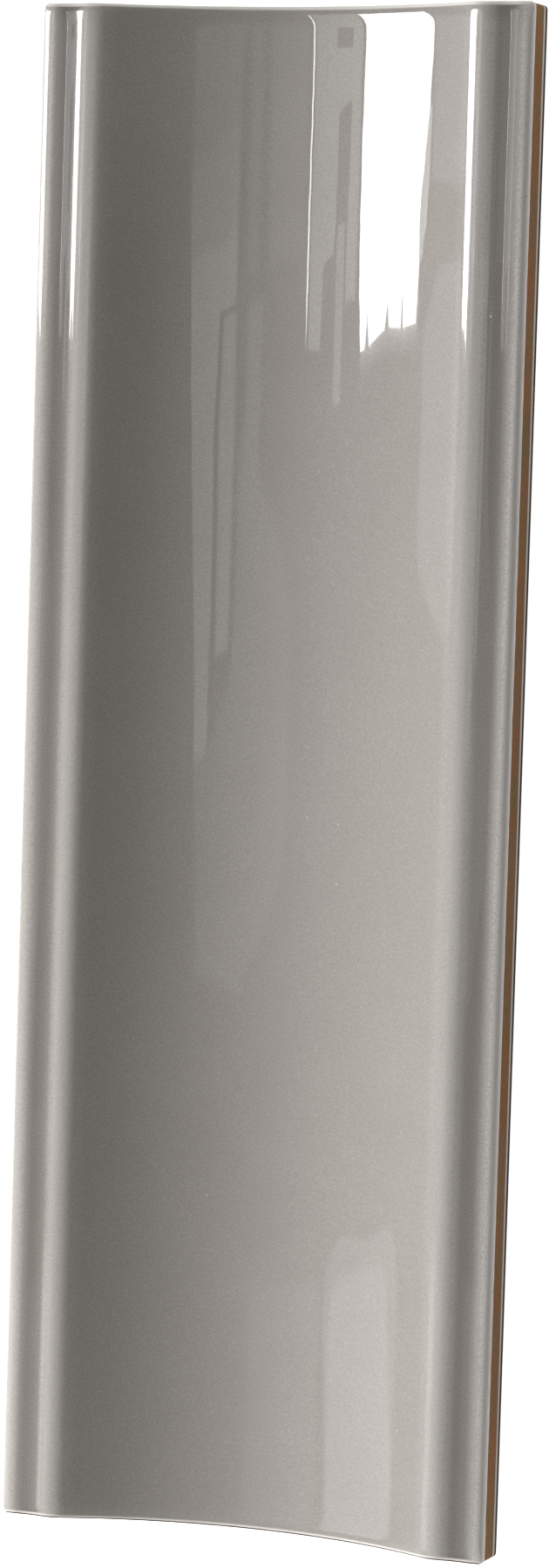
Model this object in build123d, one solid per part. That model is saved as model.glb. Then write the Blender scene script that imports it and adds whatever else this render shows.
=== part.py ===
"""Glazed cove trim tile: one pressed and fired strip with two beads and a channel along each long edge.

Lengths are millimetres. The tile lies on its back with the glazed face up, the
long axis on Y, the width on X and the bedding plane at Z = 0.
"""
import os
from math import asin, cos, degrees, sqrt

from build123d import *

# Overall size
LENGTH = 152.4
WIDTH = 51.9

# Glazed face: a wide hollow, then an inner bead, a shallow channel and an outer bead at each side
COVE_DEPTH = 5.0          # crest of the inner beads down to the bottom of the hollow
INNER_BEAD_RADIUS = 4.0
INNER_CREST_INSET = 5.0   # long side in to the crest of the inner bead
CHANNEL_RADIUS = 7.1
CHANNEL_INSET = 2.8       # long side in to the bottom of the channel
OUTER_BEAD_RADIUS = 3.7
OUTER_CREST_INSET = 1.35  # long side in to the crest of the outer bead
EDGE_RADIUS = 0.65        # long outer arris of the glazed face
END_RADIUS = 0.55         # arris where the face and the sides turn into an end

# Body and back
WALL = 7.4                # hollow to back, measured square to the curve
BEDDING_WIDTH = 20.0      # flat strip that the tile lies on
BACK_ARRIS = 0.4          # broken edge between a long side and the back
KEY_WIDTH = 2.4           # half-round grooves that take the adhesive
KEY_DEPTH = 0.6
KEY_PITCH = 5.0

# Centres across the right half of the section
half = WIDTH / 2
inner_x = half - INNER_CREST_INSET
channel_x = half - CHANNEL_INSET
outer_x = half - OUTER_CREST_INSET
edge_x = half - EDGE_RADIUS
arris_x = half - BACK_ARRIS

# Angles at which one curve runs into the next, from the level of a crest or a bottom
cove_radius = (inner_x**2 + COVE_DEPTH**2) / (2 * COVE_DEPTH) - INNER_BEAD_RADIUS
cove_turn = asin(inner_x / (cove_radius + INNER_BEAD_RADIUS))
inner_turn = asin((channel_x - inner_x) / (INNER_BEAD_RADIUS + CHANNEL_RADIUS))
outer_turn = asin((outer_x - channel_x) / (OUTER_BEAD_RADIUS + CHANNEL_RADIUS))
edge_turn = asin((edge_x - outer_x) / (OUTER_BEAD_RADIUS - EDGE_RADIUS))

# Centres above the bedding plane
back_radius = cove_radius + WALL
cove_z = sqrt(back_radius**2 - (BEDDING_WIDTH / 2) ** 2)
floor_z = cove_z - cove_radius
inner_z = floor_z + COVE_DEPTH - INNER_BEAD_RADIUS
channel_z = inner_z + (INNER_BEAD_RADIUS + CHANNEL_RADIUS) * cos(inner_turn)
outer_z = channel_z - (OUTER_BEAD_RADIUS + CHANNEL_RADIUS) * cos(outer_turn)
edge_z = outer_z + (OUTER_BEAD_RADIUS - EDGE_RADIUS) * cos(edge_turn)
side_foot_z = cove_z - sqrt(back_radius**2 - half**2)
arris_z = cove_z - sqrt(back_radius**2 - arris_x**2)

# The same angles in degrees for the arcs, and the span of the curved back
cove_deg = degrees(cove_turn)
inner_deg = degrees(inner_turn)
outer_deg = degrees(outer_turn)
edge_deg = degrees(edge_turn)
back_from = -degrees(asin(cove_z / back_radius))
back_to = -degrees(asin((cove_z - arris_z) / back_radius))
end_radius = min(END_RADIUS, 0.9 * EDGE_RADIUS)

# Grooves stand in pairs either side of the middle, all inside the bedding strip
key_pairs = int((BEDDING_WIDTH / 2 - KEY_WIDTH / 2) / KEY_PITCH + 0.5)
key_radius = ((KEY_WIDTH / 2) ** 2 + KEY_DEPTH**2) / (2 * KEY_DEPTH)
key_places = [
    (side * (n + 0.5) * KEY_PITCH, KEY_DEPTH - key_radius)
    for n in range(key_pairs)
    for side in (-1, 1)
]

with BuildPart() as tile:
    with BuildSketch(Plane.XZ):
        with BuildLine():
            # right half of the outline, from the bottom of the hollow round to the back
            CenterArc((0, cove_z), cove_radius, -90, cove_deg)
            CenterArc((inner_x, inner_z), INNER_BEAD_RADIUS, 90 + cove_deg, -cove_deg - inner_deg)
            CenterArc((channel_x, channel_z), CHANNEL_RADIUS, -90 - inner_deg, inner_deg + outer_deg)
            CenterArc((outer_x, outer_z), OUTER_BEAD_RADIUS, 90 + outer_deg, -outer_deg - edge_deg)
            CenterArc((edge_x, edge_z), EDGE_RADIUS, 90 - edge_deg, edge_deg - 90)
            Line((half, edge_z), (half, side_foot_z + BACK_ARRIS))
            Line((half, side_foot_z + BACK_ARRIS), (arris_x, arris_z))
            CenterArc((0, cove_z), back_radius, back_to, back_from - back_to)
            Line((BEDDING_WIDTH / 2, 0), (0, 0))
            mirror(about=Plane.YZ)
        make_face()
        with Locations(*key_places):
            Circle(key_radius, mode=Mode.SUBTRACT)
    extrude(amount=LENGTH / 2, both=True)

    # the face and the two sides roll over into each end
    at_ends = [e for e in tile.edges() if abs(abs(e.center().Y) - LENGTH / 2) < 1e-6]
    rims = [
        e for e in at_ends
        if e.bounding_box().max.Z > side_foot_z + 2 * BACK_ARRIS
        and e.bounding_box().min.Z >= min(floor_z, side_foot_z) - 1e-3
    ]
    fillet(rims, end_radius)

tile.part.label = "cove_tile"

os.makedirs("parts", exist_ok=True)
export_step(tile.part, "parts/cove_tile.step")
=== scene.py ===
"""Blender scene for a glazed cove trim tile.

The fired tile is one piece. Its section is drawn as a closed outline, and a Geometry Nodes
tree runs that outline down the tile, rolls it over at both ends, stands the glaze a little
proud of the bare clay and gives the glaze its slight waves. Lengths are millimetres until
they reach Blender, which works in metres.
"""

from math import asin, ceil, cos, degrees, pi, radians, sin, sqrt, tan

import bmesh
import bpy
from mathutils import Matrix, Vector


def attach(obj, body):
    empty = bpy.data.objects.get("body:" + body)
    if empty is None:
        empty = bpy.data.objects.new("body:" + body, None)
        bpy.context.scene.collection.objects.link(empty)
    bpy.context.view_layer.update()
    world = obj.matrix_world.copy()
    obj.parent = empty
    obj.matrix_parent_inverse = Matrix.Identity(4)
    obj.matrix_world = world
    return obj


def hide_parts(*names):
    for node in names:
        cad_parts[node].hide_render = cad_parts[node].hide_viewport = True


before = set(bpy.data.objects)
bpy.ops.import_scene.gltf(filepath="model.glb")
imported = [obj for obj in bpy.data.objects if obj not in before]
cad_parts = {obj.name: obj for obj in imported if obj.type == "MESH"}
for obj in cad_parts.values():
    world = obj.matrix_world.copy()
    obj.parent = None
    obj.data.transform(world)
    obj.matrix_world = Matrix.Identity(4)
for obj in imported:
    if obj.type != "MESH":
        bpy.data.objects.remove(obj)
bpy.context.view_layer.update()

MM = 0.001

# Sizes of the tile, as in the part's source
LENGTH = 152.4
WIDTH = 51.9
COVE_DEPTH = 5.0
INNER_BEAD_RADIUS = 4.0
INNER_CREST_INSET = 5.0
CHANNEL_RADIUS = 7.1
CHANNEL_INSET = 2.8
OUTER_BEAD_RADIUS = 3.7
OUTER_CREST_INSET = 1.35
EDGE_RADIUS = 0.65
END_RADIUS = 0.55
WALL = 7.4
BEDDING_WIDTH = 20.0
BACK_ARRIS = 0.4
KEY_WIDTH = 2.4
KEY_DEPTH = 0.6
KEY_PITCH = 5.0

# The glaze
GLAZE_LIP = 0.12    # how far its edge stands proud of the clay
LIP_DROP = 0.18     # share of that by which each row of the lip drops at an end
GLAZE_SKIRT = 0.12  # how far it runs down a long side
GLAZE_RUN = 0.16    # how far its edge wanders up and down there
WANDER_FADE = 0.9   # how far below the edge the wander has died out
GLAZE_WAVE = 0.010  # height of its slow waves
WAVE_LENGTH = 14.0
GLAZE_POOL = 1.5    # how much its pool adds to the radius of a channel
FACE_ROLL = 2.2     # how far in from an end the face starts to fall away
PAINTED_HIGHLIGHT_DRIFT = 0.2   # how far the glaze's pale and deep bands are moved to the right, a painted highlight shift that sets pale glaze under the bead highlights
PAINTED_BEAD_LEAN = 0.13   # how much paler the right outer bead is painted, as painted highlight, and how much darker the left, as painted shade

# Spacing of the mesh
FACE_STEP = 0.40
FINE_STEP = 0.14
SIDE_STEP = 0.12
BACK_STEP = 1.20
GROOVE_STEP = 0.30
ROW_STEP = 0.85

# Rows of the mesh at each end, and how many of them the glaze leaves bare
LIP_ROWS = 3
RIM_ROWS = 12
END_ROWS = LIP_ROWS + RIM_ROWS
NEAR_BARE_ROWS = 5.5
FAR_BARE_ROWS = 0.5

# Height above the floor that the lamps aim at
AIM_HEIGHT = 9.0


def linear(code):
    """Turns an sRGB hex colour into the linear values that a shader takes."""
    parts = [int(code[n:n + 2], 16) / 255 for n in (1, 3, 5)]
    return [p / 12.92 if p <= 0.04045 else ((p + 0.055) / 1.055) ** 2.4 for p in parts] + [1.0]


def add(tree, kind, wires=None, **settings):
    """Adds one node with its settings, and a value or a link for each input in wires.

    A link may come from a socket, or from a node, which then gives its first output.
    """
    node = tree.nodes.new(kind)
    for name, value in settings.items():
        setattr(node, name, value)
    for socket, source in (wires or {}).items():
        if isinstance(source, bpy.types.Node):
            source = source.outputs[0]
        if isinstance(source, bpy.types.NodeSocket):
            tree.links.new(source, node.inputs[socket])
        else:
            node.inputs[socket].default_value = source
    return node


# Section of the tile

def arc(centre, radius, start, sweep, step, hollow=False):
    """Points on an arc in degrees, each with the normal that points out of the clay."""
    count = max(2, ceil(abs(radians(sweep)) * radius / step))
    points = []
    for n in range(count + 1):
        turn = radians(start + sweep * n / count)
        out = (cos(turn), sin(turn))
        place = (centre[0] + radius * out[0], centre[1] + radius * out[1])
        points.append((place, (-out[0], -out[1]) if hollow else out))
    return points


def run(start, end, normal, step):
    """Points on a straight stretch, all with one normal."""
    count = max(1, ceil(sqrt((end[0] - start[0]) ** 2 + (end[1] - start[1]) ** 2) / step))
    return [
        ((start[0] + (end[0] - start[0]) * n / count, start[1] + (end[1] - start[1]) * n / count), normal)
        for n in range(count + 1)
    ]


def half_section():
    """Right half of the outline, from the bottom of the cove over the beads and round to the back.

    Each entry is place, normal, share of the end's rolled rim, glazed or not, share of the wander
    of the glaze edge, and height up the bare side, from 0 at its foot to 1 under the glaze (0.5 away
    from the sides).
    """
    half = WIDTH / 2
    inner_x = half - INNER_CREST_INSET
    channel_x = half - CHANNEL_INSET
    outer_x = half - OUTER_CREST_INSET
    edge_x = half - EDGE_RADIUS
    cove_radius = (inner_x**2 + COVE_DEPTH**2) / (2 * COVE_DEPTH) - INNER_BEAD_RADIUS
    cove_turn = asin(inner_x / (cove_radius + INNER_BEAD_RADIUS))
    pool_radius = CHANNEL_RADIUS + GLAZE_POOL
    inner_turn = asin((channel_x - inner_x) / (INNER_BEAD_RADIUS + pool_radius))
    outer_turn = asin((outer_x - channel_x) / (OUTER_BEAD_RADIUS + pool_radius))
    edge_turn = asin((edge_x - outer_x) / (OUTER_BEAD_RADIUS - EDGE_RADIUS))
    back_radius = cove_radius + WALL
    cove_z = sqrt(back_radius**2 - (BEDDING_WIDTH / 2) ** 2)
    inner_z = cove_z - cove_radius + COVE_DEPTH - INNER_BEAD_RADIUS
    channel_z = inner_z + (INNER_BEAD_RADIUS + pool_radius) * cos(inner_turn)
    outer_z = channel_z - (OUTER_BEAD_RADIUS + pool_radius) * cos(outer_turn)
    edge_z = outer_z + (OUTER_BEAD_RADIUS - EDGE_RADIUS) * cos(edge_turn)
    foot_z = cove_z - sqrt(back_radius**2 - half**2)
    turns = (cove_turn, inner_turn, outer_turn, edge_turn)
    cove_deg, inner_deg, outer_deg, edge_deg = [degrees(turn) for turn in turns]

    # glazed face
    face = arc((0, cove_z), cove_radius, -90, cove_deg, FACE_STEP, hollow=True)
    face += arc((inner_x, inner_z), INNER_BEAD_RADIUS, 90 + cove_deg, -cove_deg - inner_deg, FINE_STEP)
    channel_sweep = inner_deg + outer_deg
    face += arc((channel_x, channel_z), pool_radius, -90 - inner_deg, channel_sweep, FINE_STEP, hollow=True)
    face += arc((outer_x, outer_z), OUTER_BEAD_RADIUS, 90 + outer_deg, -outer_deg - edge_deg, FINE_STEP)
    face += arc((edge_x, edge_z), EDGE_RADIUS, 90 - edge_deg, edge_deg - 90, FINE_STEP)
    entries = [(place, normal, 1.0, 1.0, 0.0, 0.5) for place, normal in face]

    # glaze skirt on the long side, its rounded edge, then the bare clay set back behind it
    skirt_z = edge_z - GLAZE_SKIRT
    clay_x = half - GLAZE_LIP
    for drop, sag in ((0.5, 0.5), (1.0, 1.0)):
        entries.append(((half, edge_z - GLAZE_SKIRT * drop), (1, 0), 1.0, 1.0, sag, 1.0))
    for turn in (30, 60, 90):
        place = (clay_x + GLAZE_LIP * cos(radians(turn)), skirt_z - 0.8 * GLAZE_LIP * sin(radians(turn)))
        entries.append((place, (1, 0), 1.0, 1.0, 1.0, 1.0))
    side = run((clay_x, skirt_z - GLAZE_LIP), (clay_x, foot_z + BACK_ARRIS), (1, 0), SIDE_STEP)
    for n, (place, normal) in enumerate(side):
        sag = max(0.0, 1 - n * SIDE_STEP / WANDER_FADE)
        height = 1 - n / (len(side) - 1)
        entries.append((place, normal, 1.0, 0.0, sag, height))

    # broken arris and curved back, down to the flat bedding strip
    arris_x = clay_x - BACK_ARRIS
    arris_z = cove_z - sqrt(back_radius**2 - arris_x**2)
    start = -degrees(asin((cove_z - arris_z) / back_radius))
    sweep = -degrees(asin(cove_z / back_radius)) - start
    back = arc((0, cove_z), back_radius, start, sweep, BACK_STEP)

    # half-round grooves across the bedding strip
    pairs = int((BEDDING_WIDTH / 2 - KEY_WIDTH / 2) / KEY_PITCH + 0.5)
    key_radius = ((KEY_WIDTH / 2) ** 2 + KEY_DEPTH**2) / (2 * KEY_DEPTH)
    key_deg = degrees(asin(KEY_WIDTH / 2 / key_radius))
    here = BEDDING_WIDTH / 2
    for n in reversed(range(pairs)):
        groove = (n + 0.5) * KEY_PITCH
        back += run((here, 0), (groove + KEY_WIDTH / 2, 0), (0, -1), BACK_STEP)
        back += arc((groove, KEY_DEPTH - key_radius), key_radius, 90 - key_deg, 2 * key_deg, GROOVE_STEP)
        here = groove - KEY_WIDTH / 2
    back += run((here, 0), (0, 0), (0, -1), BACK_STEP)
    entries += [(place, normal, 0.0, 0.0, 0.0, 0.5) for place, normal in back]

    # neighbours that share a place become one point
    tidy = entries[:1]
    for entry in entries[1:]:
        if (Vector(entry[0]) - Vector(tidy[-1][0])).length > 1e-4:
            tidy.append(entry)
    return tidy


def glaze_depth_and_painted_light(x):
    """How deep the glaze lies at a place across the tile: 0 thin on the crests, 1 pooled in the channels.

    The painted highlight drift to the right sets in 0.5 to 2 mm from a side, and the painted lean, paler on
    the right outer bead and darker on the left, dies out 1.1 to 1.7 mm from one.
    """
    right = 1 if x > 0 else -1
    from_side = WIDTH / 2 - abs(x)
    # painted highlight and shade: the bands are moved to the right, and the right outer bead is painted
    # paler than the left
    inset = from_side + right * PAINTED_HIGHLIGHT_DRIFT * min(1.0, max(0.0, (from_side - 0.5) / 1.5))
    painted_lean = right * PAINTED_BEAD_LEAN * min(1.0, max(0.0, (1.7 - from_side) / 0.6))
    stops = (
        (0.0, -0.15), (0.22, -0.10), (0.34, 0.08), (0.5, 0.10), (1.0, 0.13), (1.45, 0.38),
        (1.8, 0.66), (2.2, 0.92), (2.6, 0.97), (3.1, 0.95), (3.65, 0.84), (4.1, 0.48),
        (4.6, 0.24), (5.8, 0.21), (6.6, 0.38), (7.8, 0.50), (WIDTH / 2, 0.50),
    )
    for (low, a), (high, b) in zip(stops, stops[1:]):
        if inset <= high:
            share = min(1.0, max(0.0, (inset - low) / (high - low)))
            return a + (b - a) * share - painted_lean
    return stops[-1][1]


def outline_mesh():
    """The closed outline as a loop of edges, carrying what the nodes need at each point."""
    right = half_section()
    left = [((-p[0], p[1]), (-n[0], n[1]), *rest) for p, n, *rest in reversed(right[1:-1])]
    loop = right + left
    mesh = bpy.data.meshes.new("tile_outline")
    count = len(loop)
    mesh.from_pydata(
        [(p[0] * MM, p[1] * MM, 0) for p, *_ in loop],
        [(n, (n + 1) % count) for n in range(count)], [],
    )
    for name in ("glazed", "edge_share", "glaze_depth_and_painted_light", "rim_reach", "side_height"):
        mesh.attributes.new(name, "FLOAT", "POINT")
    for name in ("section", "inward"):
        mesh.attributes.new(name, "FLOAT_VECTOR", "POINT")
    for n, (place, normal, rim, glazed, sag, height) in enumerate(loop):
        mesh.attributes["section"].data[n].vector = (place[0] * MM, 0, place[1] * MM)
        mesh.attributes["inward"].data[n].vector = (-normal[0] * rim, 0, -normal[1] * rim)
        mesh.attributes["glazed"].data[n].value = glazed
        mesh.attributes["edge_share"].data[n].value = sag
        # the glaze's depth, with its painted highlight drift and lean
        mesh.attributes["glaze_depth_and_painted_light"].data[n].value = glaze_depth_and_painted_light(place[0])
        mesh.attributes["side_height"].data[n].value = height
        upright = normal[1] ** 2 * rim
        mesh.attributes["rim_reach"].data[n].value = (END_RADIUS + (FACE_ROLL - END_RADIUS) * upright) * MM
    return mesh


# Geometry Nodes: the pressed strip

def strip_tree(glaze, clay):
    """Runs the outline down the tile, rolls both ends over and lays the glaze on the face."""
    tree = bpy.data.node_groups.new("pressed_strip", "GeometryNodeTree")
    face = tree.interface
    face.new_socket("Outline", in_out="INPUT", socket_type="NodeSocketGeometry")
    for name in ("Length", "End Radius", "Glaze Lip", "Glaze Run", "Wave Height", "Wave Length"):
        face.new_socket(name, in_out="INPUT", socket_type="NodeSocketFloat")
    face.new_socket("Rows", in_out="INPUT", socket_type="NodeSocketInt")
    face.new_socket("Tile", in_out="OUTPUT", socket_type="NodeSocketGeometry")
    given = add(tree, "NodeGroupInput").outputs

    # rows counted from the nearer end: the glaze lip first, then round the rim, then along the body
    index = add(tree, "GeometryNodeInputIndex")
    last = add(tree, "ShaderNodeMath", {0: given["Rows"], 1: 1.0}, operation="SUBTRACT")
    middle = add(tree, "ShaderNodeMath", {0: last, 1: 0.5}, operation="MULTIPLY")
    other = add(tree, "ShaderNodeMath", {0: last, 1: index}, operation="SUBTRACT")
    row = add(tree, "ShaderNodeMath", {0: index, 1: other}, operation="MINIMUM")
    far_half = add(tree, "ShaderNodeMath", {0: index, 1: middle}, operation="GREATER_THAN")
    end = add(tree, "ShaderNodeMapRange", {0: far_half, 3: -1.0, 4: 1.0})
    turn = add(tree, "ShaderNodeMapRange", {0: row, 1: LIP_ROWS, 2: END_ROWS, 3: 0.0, 4: pi / 2})
    body = add(tree, "ShaderNodeMapRange", {0: row, 1: END_ROWS, 2: middle, 3: 0.0, 4: 1.0})
    lip = add(tree, "ShaderNodeMapRange", {0: row, 1: 0.0, 2: LIP_ROWS, 3: LIP_ROWS, 4: 0.0})
    rise = add(tree, "ShaderNodeMath", {0: turn}, operation="SINE")
    rim_fall = add(tree, "ShaderNodeMapRange", {0: rise, 3: given["End Radius"], 4: 0.0})
    lip_fall = add(tree, "ShaderNodeMath", {0: lip, 1: given["Glaze Lip"]}, operation="MULTIPLY")
    fall = add(tree, "ShaderNodeMath", {0: lip_fall, 1: LIP_DROP, 2: rim_fall}, operation="MULTIPLY_ADD")
    round_share = add(tree, "ShaderNodeMath", {0: turn}, operation="COSINE")
    lip_back = add(tree, "ShaderNodeMapRange", {0: lip, 1: 0.0, 2: 2.0, 3: 0.0, 4: given["Glaze Lip"]})
    stop_row = add(tree, "ShaderNodeMapRange", {0: far_half, 3: NEAR_BARE_ROWS, 4: FAR_BARE_ROWS})
    glazed_row = add(tree, "ShaderNodeMath", {0: row, 1: stop_row}, operation="GREATER_THAN")

    # a path down the middle carries these along to the swept mesh
    line = add(tree, "GeometryNodeCurvePrimitiveLine", {"Start": (0, -1, 0), "End": (0, 1, 0)})
    path = add(tree, "GeometryNodeResampleCurve", {"Curve": line, "Count": given["Rows"]})
    carried = []
    for value in (fall, round_share, body, lip_back, end, glazed_row, rise):
        path = add(tree, "GeometryNodeCaptureAttribute", {0: path}, domain="POINT")
        path.capture_items.new("FLOAT", "carried")
        tree.links.new(value.outputs[0], path.inputs[1])
        carried.append(path.outputs[1])
    fall, round_share, body, lip_back, end, glazed_row, rise = carried
    profile = add(tree, "GeometryNodeMeshToCurve", {0: given["Outline"]})
    swept = add(tree, "GeometryNodeCurveToMesh", {
        "Curve": path, "Profile Curve": profile, "Fill Caps": True})

    # how far each point sits from its end: round the rim first, then evenly along the body
    glazed = add(tree, "GeometryNodeInputNamedAttribute", {"Name": "glazed"}, data_type="FLOAT")
    reach = add(tree, "GeometryNodeInputNamedAttribute", {"Name": "rim_reach"}, data_type="FLOAT")
    half_length = add(tree, "ShaderNodeMath", {0: given["Length"], 1: 0.5}, operation="MULTIPLY")
    rim_in = add(tree, "ShaderNodeMapRange", {0: round_share, 3: reach, 4: 0.0})
    straight = add(tree, "ShaderNodeMath", {0: half_length, 1: reach}, operation="SUBTRACT")
    inward_run = add(tree, "ShaderNodeMath", {0: body, 1: straight, 2: rim_in}, operation="MULTIPLY_ADD")
    glaze_in = add(tree, "ShaderNodeMath", {0: inward_run, 1: lip_back}, operation="ADD")
    clay_in = add(tree, "ShaderNodeMath", {0: inward_run, 1: given["Glaze Lip"]}, operation="MAXIMUM")
    from_end = add(tree, "ShaderNodeMix", {0: glazed, 2: clay_in, 3: glaze_in}, data_type="FLOAT")
    from_middle = add(tree, "ShaderNodeMath", {0: half_length, 1: from_end}, operation="SUBTRACT")
    seat = add(tree, "ShaderNodeMath", {0: from_middle, 1: end}, operation="MULTIPLY")

    # its place in the section, drawn in where the rim falls away
    section = add(tree, "GeometryNodeInputNamedAttribute", {"Name": "section"}, data_type="FLOAT_VECTOR")
    inward = add(tree, "GeometryNodeInputNamedAttribute", {"Name": "inward"}, data_type="FLOAT_VECTOR")
    drawn_in = add(tree, "ShaderNodeVectorMath", {0: inward, "Scale": fall}, operation="SCALE")
    across = add(tree, "ShaderNodeVectorMath", {0: section, 1: drawn_in}, operation="ADD")
    along = add(tree, "ShaderNodeCombineXYZ", {"Y": seat})
    place = add(tree, "ShaderNodeVectorMath", {0: across, 1: along}, operation="ADD")
    shaped = add(tree, "GeometryNodeSetPosition", {"Geometry": swept, "Position": place})
    marked = add(tree, "GeometryNodeStoreNamedAttribute", {
        "Geometry": shaped, "Name": "rim_rise", "Value": rise}, data_type="FLOAT", domain="POINT")
    closed = add(tree, "GeometryNodeMergeByDistance", {"Geometry": marked, "Distance": 2e-6})

    # the glaze edge wanders up and down the long sides
    here = add(tree, "GeometryNodeInputPosition")
    edge_share = add(tree, "GeometryNodeInputNamedAttribute", {"Name": "edge_share"}, data_type="FLOAT")
    drip = add(tree, "ShaderNodeTexNoise", {"Vector": here, "Scale": 1 / (2.6 * MM), "Detail": 2.0})
    drop = add(tree, "ShaderNodeMapRange", {0: drip, 3: -1.0, 4: 1.0})
    drop_by = add(tree, "ShaderNodeMath", {0: drop, 1: given["Glaze Run"]}, operation="MULTIPLY")
    wander = add(tree, "ShaderNodeMath", {0: drop_by, 1: edge_share}, operation="MULTIPLY")
    lowered = add(tree, "ShaderNodeCombineXYZ", {"Z": wander})
    uneven = add(tree, "GeometryNodeSetPosition", {"Geometry": closed, "Offset": lowered})

    # slow waves in the glaze, only ever down into the face, so that the tile keeps its size
    per_wave = add(tree, "ShaderNodeMath", {0: 1.0, 1: given["Wave Length"]}, operation="DIVIDE")
    swell = add(tree, "ShaderNodeTexNoise", {"Vector": here, "Scale": per_wave, "Detail": 0.0})
    depth = add(tree, "ShaderNodeMath", {0: swell, 1: given["Wave Height"]}, operation="MULTIPLY")
    sink = add(tree, "ShaderNodeMath", {0: depth, 1: glazed}, operation="MULTIPLY")
    waves = add(tree, "ShaderNodeVectorMath", {0: inward, "Scale": sink}, operation="SCALE")
    waved = add(tree, "GeometryNodeSetPosition", {"Geometry": uneven, "Offset": waves})

    # smooth skin, clay all over, glaze where both the outline and the row are glazed
    smooth = add(tree, "GeometryNodeSetShadeSmooth", {0: waved})
    solid = add(tree, "GeometryNodeRealizeInstances", {0: smooth})
    bare = add(tree, "GeometryNodeSetMaterial", {"Geometry": solid, "Material": clay})
    cover = add(tree, "ShaderNodeMath", {0: glazed, 1: glazed_row}, operation="MULTIPLY")
    on_face = add(tree, "GeometryNodeFieldOnDomain", {0: cover}, domain="FACE")
    covered = add(tree, "ShaderNodeMath", {0: on_face, 1: 0.8}, operation="GREATER_THAN")
    coated = add(tree, "GeometryNodeSetMaterial", {
        "Geometry": bare, "Selection": covered, "Material": glaze})
    add(tree, "NodeGroupOutput", {0: coated})
    return tree


def fired_tile(glaze, clay):
    """The whole tile as one closed mesh with glaze and clay on their own faces."""
    source = bpy.data.objects.new("tile_outline", outline_mesh())
    bpy.context.collection.objects.link(source)
    tree = strip_tree(glaze, clay)
    sweep = source.modifiers.new("pressed_strip", "NODES")
    sweep.node_group = tree
    body_rows = 2 * ceil((LENGTH / 2 - FACE_ROLL) / ROW_STEP)
    sizes = {
        "Length": LENGTH * MM, "End Radius": END_RADIUS * MM, "Glaze Lip": GLAZE_LIP * MM,
        "Glaze Run": GLAZE_RUN * MM, "Wave Height": GLAZE_WAVE * MM, "Wave Length": WAVE_LENGTH * MM,
        "Rows": body_rows + 2 * END_ROWS + 1,
    }
    for socket in tree.interface.items_tree:
        if socket.in_out == "INPUT" and socket.name in sizes:
            sweep[socket.identifier] = sizes[socket.name]
    ready = source.evaluated_get(bpy.context.evaluated_depsgraph_get())
    mesh = bpy.data.meshes.new_from_object(ready)
    mesh.name = "fired_tile"
    source.modifiers.remove(sweep)
    bpy.data.objects.remove(source)

    shell = bmesh.new()
    shell.from_mesh(mesh)
    bmesh.ops.dissolve_degenerate(shell, dist=1e-7, edges=shell.edges)
    bmesh.ops.recalc_face_normals(shell, faces=shell.faces)
    shell.to_mesh(mesh)
    shell.free()
    mesh.set_sharp_from_angle(angle=radians(50))
    tile = bpy.data.objects.new("fired_tile", mesh)
    bpy.context.collection.objects.link(tile)
    return tile


# Materials

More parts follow.
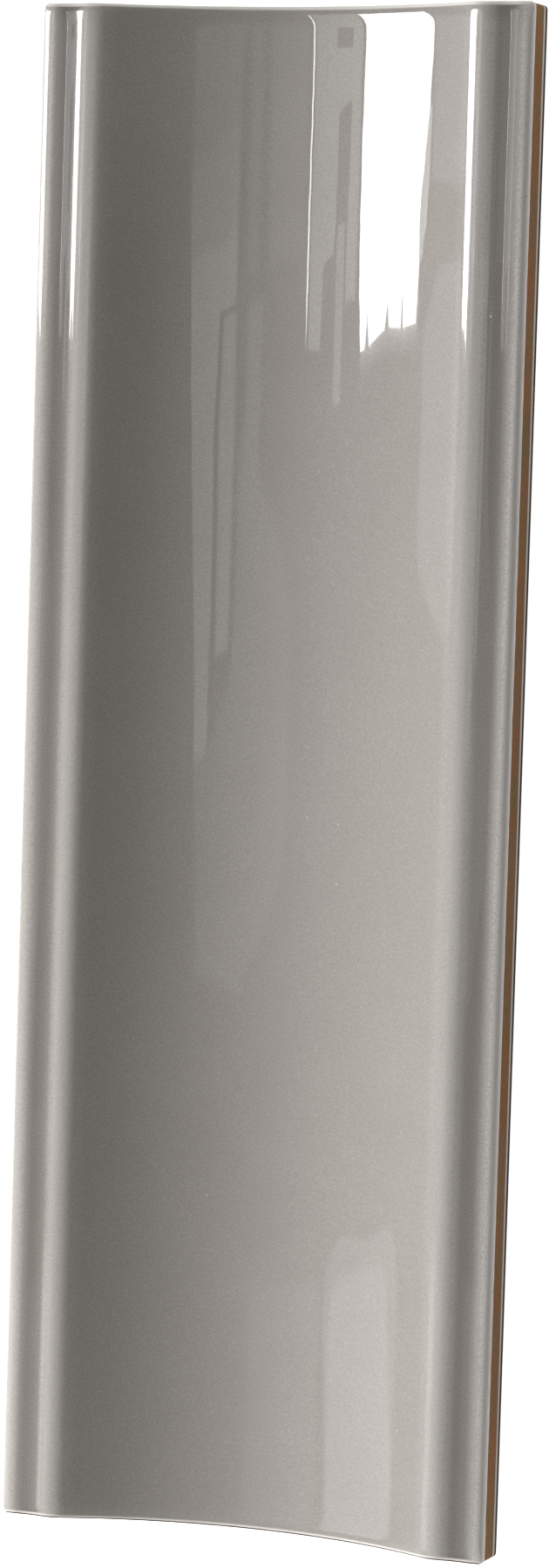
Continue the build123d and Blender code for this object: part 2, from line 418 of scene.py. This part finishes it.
def grey_glaze():
    """Grey glaze over pressed clay, dipped and fired glossy.

    It is a glassy coat that runs off the beads and gathers in the channels before it sets, so
    the crests are pale, the hollows are deep grey, and the surface mirrors sharply.
    """
    material = bpy.data.materials.new("grey_glaze_fired_glossy")
    material.use_nodes = True
    tree = material.node_tree
    tree.nodes.clear()
    spot = add(tree, "ShaderNodeTexCoord").outputs["Object"]
    # the glaze's pale crests and deep channels, moved and leant as painted highlight and shade
    depth = add(tree, "ShaderNodeAttribute", attribute_name="glaze_depth_and_painted_light").outputs["Fac"]

    # cloudiness about 9 mm across, and a fine grain of 0.2 mm
    cloud = add(tree, "ShaderNodeTexNoise", {
        "Vector": spot, "Scale": 1 / (9 * MM), "Detail": 3.0, "Roughness": 0.6})
    grain = add(tree, "ShaderNodeTexNoise", {"Vector": spot, "Scale": 1 / (0.2 * MM), "Detail": 0.0})
    moved = add(tree, "ShaderNodeMath", {0: cloud, 1: 0.10, 2: -0.20}, operation="MULTIPLY_ADD")
    uneven = add(tree, "ShaderNodeMath", {0: depth, 1: moved}, operation="ADD")
    grained = add(tree, "ShaderNodeMath", {0: grain, 1: 0.30, 2: uneven}, operation="MULTIPLY_ADD")
    tone = add(tree, "ShaderNodeValToRGB", {0: grained})
    stops = tone.color_ramp.elements
    stops[0].position, stops[0].color = 0.0, linear("#CFCBC6")
    stops[1].position, stops[1].color = 1.0, linear("#7A7570")
    for position, code in ((0.05, "#BDB8B3"), (0.5, "#9C9792")):
        stops.new(position).color = linear(code)

    # rare pale specks, 0.25 mm, where a bubble broke in the kiln
    cells = add(tree, "ShaderNodeTexVoronoi", {"Vector": spot, "Scale": 1 / (3.2 * MM)}, feature="F1")
    dot = add(tree, "ShaderNodeMath", {0: cells.outputs["Distance"], 1: 0.04}, operation="LESS_THAN")
    chance = add(tree, "ShaderNodeSeparateColor", {0: cells.outputs["Color"]})
    rare = add(tree, "ShaderNodeMath", {0: chance, 1: 0.16}, operation="LESS_THAN")
    speck = add(tree, "ShaderNodeMath", {0: dot, 1: rare}, operation="MULTIPLY")
    colour = add(tree, "ShaderNodeMix", {
        0: speck, 6: tone, 7: linear("#B6B1AC")}, data_type="RGBA").outputs[2]

    # round the rim of each end a ragged pale line is painted into the glaze: a painted highlight along the
    # rim
    rim = add(tree, "ShaderNodeAttribute", attribute_name="rim_rise").outputs["Fac"]
    painted_rim_highlight = add(tree, "ShaderNodeMath", {0: cloud, 1: 0.05, 2: rim}, operation="MULTIPLY_ADD")
    line = add(tree, "ShaderNodeValToRGB", {0: painted_rim_highlight})
    marks = line.color_ramp.elements
    pale = linear("#E2DED8")[:3]
    marks[0].position, marks[0].color = 0.54, pale + [0.82]
    marks[1].position, marks[1].color = 0.64, pale + [0.0]
    colour = add(tree, "ShaderNodeMix", {
        0: line.outputs["Alpha"], 6: colour, 7: line}, data_type="RGBA").outputs[2]

    # the coat is smooth as glass with a faint orange-peel 3 mm across
    peel = add(tree, "ShaderNodeTexNoise", {"Vector": spot, "Scale": 1 / (3 * MM), "Detail": 0.5})
    bump = add(tree, "ShaderNodeBump", {"Height": peel, "Strength": 0.010, "Distance": 0.3 * MM})
    rough = add(tree, "ShaderNodeMath", {0: cloud, 1: 0.02, 2: 0.005}, operation="MULTIPLY_ADD")
    shader = add(tree, "ShaderNodeBsdfPrincipled", {
        "Base Color": colour, "Roughness": rough, "IOR": 1.52, "Normal": bump})
    add(tree, "ShaderNodeOutputMaterial", {0: shader})
    return material


def red_clay():
    """Red-brown clay, pressed and fired without glaze.

    It is dry, matt and gritty to the eye, with iron-red and olive blotches.
    """
    material = bpy.data.materials.new("red_clay_fired_bare")
    material.use_nodes = True
    tree = material.node_tree
    tree.nodes.clear()
    spot = add(tree, "ShaderNodeTexCoord").outputs["Object"]

    # blotches about 4 mm across, and grit of 0.35 mm
    blotch = add(tree, "ShaderNodeTexNoise", {
        "Vector": spot, "Scale": 1 / (4 * MM), "Detail": 3.0, "Roughness": 0.6})
    grit = add(tree, "ShaderNodeTexNoise", {
        "Vector": spot, "Scale": 1 / (0.35 * MM), "Detail": 3.0, "Roughness": 0.7})
    tone = add(tree, "ShaderNodeValToRGB", {0: blotch})
    stops = tone.color_ramp.elements
    stops[0].position, stops[0].color = 0.30, linear("#826C4D")
    stops[1].position, stops[1].color = 0.72, linear("#986849")
    stops.new(0.5).color = linear("#8E6C4D")
    shade = add(tree, "ShaderNodeMapRange", {0: grit, 1: 0.25, 2: 0.75, 3: 0.72, 4: 1.18})
    colour = add(tree, "ShaderNodeMix", {
        0: 1.0, 6: tone, 7: shade}, data_type="RGBA", blend_type="MULTIPLY").outputs[2]

    # along a long side: dark at the foot, a painted shadow where the tile meets the floor, a pale line
    # above it, and a dark red line under the glaze, painted shade beneath the glaze lip
    height = add(tree, "ShaderNodeAttribute", attribute_name="side_height").outputs["Fac"]
    line = add(tree, "ShaderNodeValToRGB", {0: height})
    marks = line.color_ramp.elements
    marks[0].position, marks[0].color = 0.09, linear("#3A2E26")
    marks[1].position, marks[1].color = 1.0, linear("#6E3B2C")
    for position, code, share in (
        (0.15, "#3A2E26", 0.8), (0.17, "#E2DCD2", 0.9), (0.26, "#E2DCD2", 0.8), (0.32, "#B0805A", 0.0),
        (0.90, "#8C4C38", 0.0), (0.96, "#7A3F2E", 0.7),
    ):
        marks.new(position).color = linear(code)[:3] + [share]
    normal = add(tree, "ShaderNodeTexCoord").outputs["Normal"]
    facing = add(tree, "ShaderNodeSeparateXYZ", {0: normal}).outputs
    sideways = add(tree, "ShaderNodeMath", {0: facing["X"]}, operation="ABSOLUTE")
    on_side = add(tree, "ShaderNodeMapRange", {0: sideways, 1: 0.6, 2: 0.8})
    share = add(tree, "ShaderNodeMath", {0: line.outputs["Alpha"], 1: on_side}, operation="MULTIPLY")
    colour = add(tree, "ShaderNodeMix", {0: share, 6: colour, 7: line}, data_type="RGBA").outputs[2]

    # round the rim of each end, but not on its flat, the bare clay under the glaze is painted near black:
    # painted shade under the glaze lip
    rim = add(tree, "ShaderNodeAttribute", attribute_name="rim_rise").outputs["Fac"]
    painted_rim_shade = add(tree, "ShaderNodeValToRGB", {0: rim})
    rim_shade_stops = painted_rim_shade.color_ramp.elements
    rim_shade_colour = linear("#2E231D")[:3]
    rim_shade_stops[0].position, rim_shade_stops[0].color = 0.0, rim_shade_colour + [0.0]
    rim_shade_stops[1].position, rim_shade_stops[1].color = 0.52, rim_shade_colour + [0.0]
    for position in (0.06, 0.44):
        rim_shade_stops.new(position).color = rim_shade_colour + [0.85]
    endways = add(tree, "ShaderNodeMath", {0: facing["Y"]}, operation="ABSOLUTE")
    off_end = add(tree, "ShaderNodeMapRange", {0: endways, 1: 0.92, 2: 0.98, 3: 1.0, 4: 0.0})
    share = add(tree, "ShaderNodeMath", {0: painted_rim_shade.outputs["Alpha"], 1: off_end}, operation="MULTIPLY")
    colour = add(tree, "ShaderNodeMix", {0: share, 6: colour, 7: painted_rim_shade}, data_type="RGBA").outputs[2]
    bump = add(tree, "ShaderNodeBump", {"Height": grit, "Strength": 0.5, "Distance": 0.12 * MM})
    rough = add(tree, "ShaderNodeMapRange", {0: grit, 1: 0.2, 2: 0.8, 3: 0.78, 4: 0.95})
    shader = add(tree, "ShaderNodeBsdfPrincipled", {
        "Base Color": colour, "Roughness": rough, "IOR": 1.45, "Specular IOR Level": 0.2, "Normal": bump})
    add(tree, "ShaderNodeOutputMaterial", {0: shader})
    return material


# Floor, room, lamps and camera

def seen_directly(tree):
    """1 for rays that look at the background straight or in a mirror, 0 for rays that carry light."""
    light = add(tree, "ShaderNodeLightPath").outputs
    either = add(tree, "ShaderNodeMath", {
        0: light["Is Camera Ray"], 1: light["Is Glossy Ray"]}, operation="MAXIMUM")
    return add(tree, "ShaderNodeMath", {0: either, 1: light["Is Transmission Ray"]}, operation="MAXIMUM")


def pale_floor():
    """A matt white board that stays white to the eye and keeps a soft shadow of the tile."""
    material = bpy.data.materials.new("white_board_matt")
    material.use_nodes = True
    tree = material.node_tree
    tree.nodes.clear()
    board = add(tree, "ShaderNodeBsdfDiffuse", {"Color": linear("#D8D8D8")})
    lift = add(tree, "ShaderNodeMath", {0: seen_directly(tree), 1: 0.95}, operation="MULTIPLY")
    glow = add(tree, "ShaderNodeEmission", {"Color": (1, 1, 1, 1), "Strength": lift})
    both = add(tree, "ShaderNodeAddShader", {0: board, 1: glow})
    add(tree, "ShaderNodeOutputMaterial", {0: both})
    mesh = bpy.data.meshes.new("floor")
    reach = 6.0
    corners = [(-reach, -reach, 0), (reach, -reach, 0), (reach, reach, 0), (-reach, reach, 0)]
    mesh.from_pydata(corners, [], [(0, 1, 2, 3)])
    mesh.materials.append(material)
    floor = bpy.data.objects.new("floor", mesh)
    bpy.context.collection.objects.link(floor)


def room():
    """A dim room above, and white round the horizon where the backdrop is seen, higher beyond the ends."""
    world = bpy.data.worlds.new("room")
    bpy.context.scene.world = world
    world.use_nodes = True
    tree = world.node_tree
    tree.nodes.clear()
    sight = add(tree, "ShaderNodeTexCoord").outputs["Generated"]
    way = add(tree, "ShaderNodeSeparateXYZ", {0: sight}).outputs
    beyond = add(tree, "ShaderNodeMath", {0: way["Y"], 1: 2.0}, operation="POWER")
    level = add(tree, "ShaderNodeMath", {0: beyond, 1: -0.35, 2: way["Z"]}, operation="MULTIPLY_ADD")
    low = add(tree, "ShaderNodeMapRange", {0: level, 1: 0.08, 2: 0.20, 3: 1.0, 4: 0.0})
    share = add(tree, "ShaderNodeMath", {0: low, 1: seen_directly(tree)}, operation="MULTIPLY")
    colour = add(tree, "ShaderNodeMix", {
        0: share, 6: linear("#1C1C1D"), 7: (1, 1, 1, 1)}, data_type="RGBA").outputs[2]
    back = add(tree, "ShaderNodeBackground", {"Color": colour, "Strength": 1.0})
    add(tree, "ShaderNodeOutputWorld", {0: back})


def pane(name, across, along, glow, reach=1.0, mirrored=True):
    """A flat lamp that faces the tile, between two angles from upright across it and two places along it.

    Negative angles are on the left, and the places and the reach are in metres. The glow is the lamp's
    brightness, where 1 is white paper. A lamp that isn't mirrored only fills in light and leaves no patch
    in the glaze.
    """
    middle = radians(sum(across) / 2)
    width = 2 * reach * tan(radians(abs(across[1] - across[0])) / 2)
    height = along[1] - along[0]
    lamp = bpy.data.lights.new(name, "AREA")
    lamp.shape = "RECTANGLE"
    lamp.size = width
    lamp.size_y = height
    lamp.energy = glow * pi * width * height
    holder = bpy.data.objects.new(name, lamp)
    holder.visible_camera = False
    holder.visible_glossy = mirrored
    bpy.context.collection.objects.link(holder)
    away = Vector((sin(middle), 0, cos(middle)))
    side = Vector((cos(middle), 0, -sin(middle)))
    turn = Matrix((side, Vector((0, 1, 0)), away)).transposed().to_4x4()
    centre = away * reach + Vector((0, sum(along) / 2, AIM_HEIGHT * MM))
    holder.matrix_world = Matrix.Translation(centre) @ turn


def card(name, end, glow):
    """A lit card beyond one end, 1 for the far one. It stands lower than the face and lights only the rim.

    Its size, its distance from the middle of the tile and the height of its own middle are in metres.
    """
    width, height, distance, middle = 0.5, 0.006, 0.15, 0.0034
    lamp = bpy.data.lights.new(name, "AREA")
    lamp.shape = "RECTANGLE"
    lamp.size = width
    lamp.size_y = height
    lamp.energy = glow * pi * width * height
    holder = bpy.data.objects.new(name, lamp)
    holder.visible_camera = False
    holder.visible_glossy = False
    holder.location = (0, end * distance, middle)
    holder.rotation_euler = (-end * pi / 2, 0, 0)
    bpy.context.collection.objects.link(holder)


def window(name, outline, glow, reach=1.0, lights=True):
    """A lit opening, drawn on a plane about 1 m away on the left that faces the tile.

    Each corner is an angle from upright across the tile and a place along it in millimetres. An opening
    that doesn't light the tile is only mirrored in the glaze, and a dark thing before one has no glow.
    """
    material = bpy.data.materials.new(name + "_daylight")
    material.use_nodes = True
    tree = material.node_tree
    tree.nodes.clear()
    shine = add(tree, "ShaderNodeEmission", {"Color": linear("#FFFFFF"), "Strength": glow})
    add(tree, "ShaderNodeOutputMaterial", {0: shine})
    middle = radians(-45)
    away = Vector((sin(middle), 0, cos(middle)))
    side = Vector((cos(middle), 0, -sin(middle)))
    aim = Vector((0, 0, AIM_HEIGHT * MM))
    corners = [
        (away + side * tan(radians(angle) - middle) + Vector((0, place * MM, 0))) * reach + aim
        for angle, place in outline
    ]
    mesh = bpy.data.meshes.new(name)
    mesh.from_pydata(corners, [], [range(len(corners))])
    mesh.materials.append(material)
    opening = bpy.data.objects.new(name, mesh)
    opening.visible_camera = False
    opening.visible_diffuse = lights
    bpy.context.collection.objects.link(opening)


def lamps():
    """One bright window on the left towards the far end, what lies round it in the room, and low fills."""
    # the window, the walls beside it and the daylight that fades off under its sill
    window("window", (
        (-41.3, 66), (-42.6, 67.5), (-43.2, 76), (-43.9, 68.5), (-48.5, 73), (-49.2, 80), (-49.8, 74),
        (-53.5, 74), (-53.8, 84), (-54.2, 74), (-58.4, 76.5), (-58.8, 90), (-58.6, 106), (-59.2, 118),
        (-60.7, 137), (-61.5, 155), (-61.8, 250), (-40.3, 250), (-40.3, 152), (-40.05, 129), (-40.1, 106),
        (-40.5, 84),
    ), 18.0)
    window("window_top", ((-61.8, 250), (-61.8, 520), (-40.3, 520), (-40.3, 250)), 18.0, lights=False)
    window("wall_beyond", ((-62.4, 120), (-62.4, 330), (-76, 330), (-76, 120)), 0.8, reach=1.01)
    window("wall_below", (
        (-61.2, 74), (-61.2, 5), (-67, -12), (-80, -32), (-80, 105), (-66, 95),
    ), 0.85, reach=1.01, lights=False)
    for drop, glow in ((2.2, 2.6), (4.8, 1.5), (8.0, 0.7)):
        window("window_haze", (
            (-41.4, 80), (-41.4, 67 - drop), (-44, 68.5 - drop), (-48.5, 73 - drop), (-53.5, 74 - drop),
            (-58.8, 77 - drop), (-59.4, 84),
        ), glow, reach=1 + drop * MM, lights=False)
    window("window_reveal", (
        (-58, 87), (-59.8, 95), (-61, 106), (-61.4, 118), (-61.8, 140), (-58, 140),
    ), 4.0, reach=1.02)

    # the curtain, with a gap, a fold and a dark hook
    window("curtain_gap", ((-25.6, 67), (-25.85, 88), (-25.85, 550), (-25.45, 550), (-25.45, 88)), 15.0)
    window("curtain", (
        (-26.3, 68), (-29.7, 68), (-30, 92), (-32.6, 95), (-33.1, 103), (-33.2, 137), (-36.8, 141),
        (-36.5, 103), (-36.4, 81), (-39.4, 81), (-39.6, 550), (-26.3, 550),
    ), 1.9)
    window("curtain_fold", ((-33.6, 103), (-33.6, 51), (-35.8, 51), (-35.8, 103)), 1.5)
    window("curtain_hook", ((-31.9, 154.6), (-36.5, 154.6), (-36.5, 180), (-31.9, 180)), 0.0, reach=0.99)

    # the doorway towards the near end
    window("doorway", (
        (-40.8, -222), (-41.4, -209), (-43.3, -204.5), (-46.5, -202.3), (-52.2, -201), (-56, -201.5),
        (-58, -204), (-59, -209), (-59.6, -222), (-62, -266), (-64, -620), (-44, -620), (-41.9, -266),
    ), 1.8, reach=0.99)
    window("doorway_frame", (
        (-39, -209), (-39.9, -200.5), (-40.7, -196.2), (-42.5, -192.7), (-45.2, -191.3), (-58, -191.3),
        (-61, -196), (-62.5, -209), (-62.9, -266), (-64.9, -620), (-43, -620), (-40.9, -266),
    ), 0.9)
    pane("doorway_wall", (-38, -18), (-0.62, -0.205), 0.4)

    # the ceiling above the tile and its boards
    window("pale_ceiling", (
        (5.4, 112), (4.5, 66), (2.5, -9), (1.5, -45), (1.0, -76), (-2.3, -70), (-2.2, -35), (-2.2, 7),
        (-1.8, 44), (-2.7, 88), (-6.8, 90), (-6.6, 112),
    ), 1.25)
    window("ceiling_strip", (
        (-3.7, 86), (-3.2, 44), (-3.6, 7), (-3.8, -35), (-7.0, -30), (-7.2, 7), (-7.2, 44), (-6.8, 86),
    ), 1.15, lights=False)
    window("ceiling_beyond", (
        (1.0, -76), (-2.4, -71), (-8.2, -36), (-8.6, 7), (-8.6, 40), (-16, 25), (-24, -10), (-24, -90),
        (-12, -140), (-1, -150),
    ), 0.5, reach=1.01, lights=False)
    window("ceiling_end", ((-9.9, 88), (-9.9, 20), (-13.8, 20), (-13.8, 88)), 0.6)
    window("ceiling_edge", ((5.6, 112.5), (6.0, 150), (-6.4, 150), (-6.6, 112.5)), 0.8)
    window("ceiling_board", ((6.0, 150.5), (5.8, 330), (-6.4, 330), (-6.4, 150.5)), 0.45)
    window("ceiling_second_board", ((-9.4, 97), (-8.1, 330), (-11.0, 330), (-12.2, 97)), 0.4)
    window("ceiling_third_board", ((-14.8, 97), (-13.3, 330), (-24, 330), (-24, 97)), 0.4)

    # fills that leave no patch in the glaze
    pane("left_fill", (-80, -60), (-0.14, 0.05), 19.5, reach=0.25, mirrored=False)
    pane("near_fill", (0, 60), (-0.25, -0.05), 0.35, reach=0.3, mirrored=False)
    pane("right_fill", (86.5, 90), (-0.2, 0.8), 9.5, mirrored=False)
    card("far_card", 1, 16.0)
    pane("front_fill", (-70, 70), (-0.55, -0.30), 3.8, reach=0.15, mirrored=False)


def camera():
    """Long lens, a little to the right of the tile and almost straight above it."""
    yaw, pitch, roll = 0.378188, 0.057818, 0.030741
    away = Vector((sin(yaw) * cos(pitch), sin(pitch), cos(yaw) * cos(pitch)))
    right = Vector((cos(yaw), 0, -sin(yaw)))
    up = away.cross(right)
    side = right * cos(roll) + up * sin(roll)
    top = up * cos(roll) - right * sin(roll)
    lens = bpy.data.cameras.new("camera")
    lens.sensor_fit = "VERTICAL"
    lens.sensor_height = 36.0
    lens.lens = 121.60
    eye = bpy.data.objects.new("camera", lens)
    bpy.context.collection.objects.link(eye)
    target = Vector((-0.48, -0.98, 6.0)) * MM
    distance = 528.99 * MM
    turn = Matrix((side, top, away)).transposed().to_4x4()
    eye.matrix_world = Matrix.Translation(target + away * distance) @ turn
    bpy.context.scene.camera = eye


tile = fired_tile(grey_glaze(), red_clay())
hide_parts("cove_tile")
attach(tile, "root")

pale_floor()
room()
lamps()
camera()
bpy.context.scene.view_settings.view_transform = "Standard"
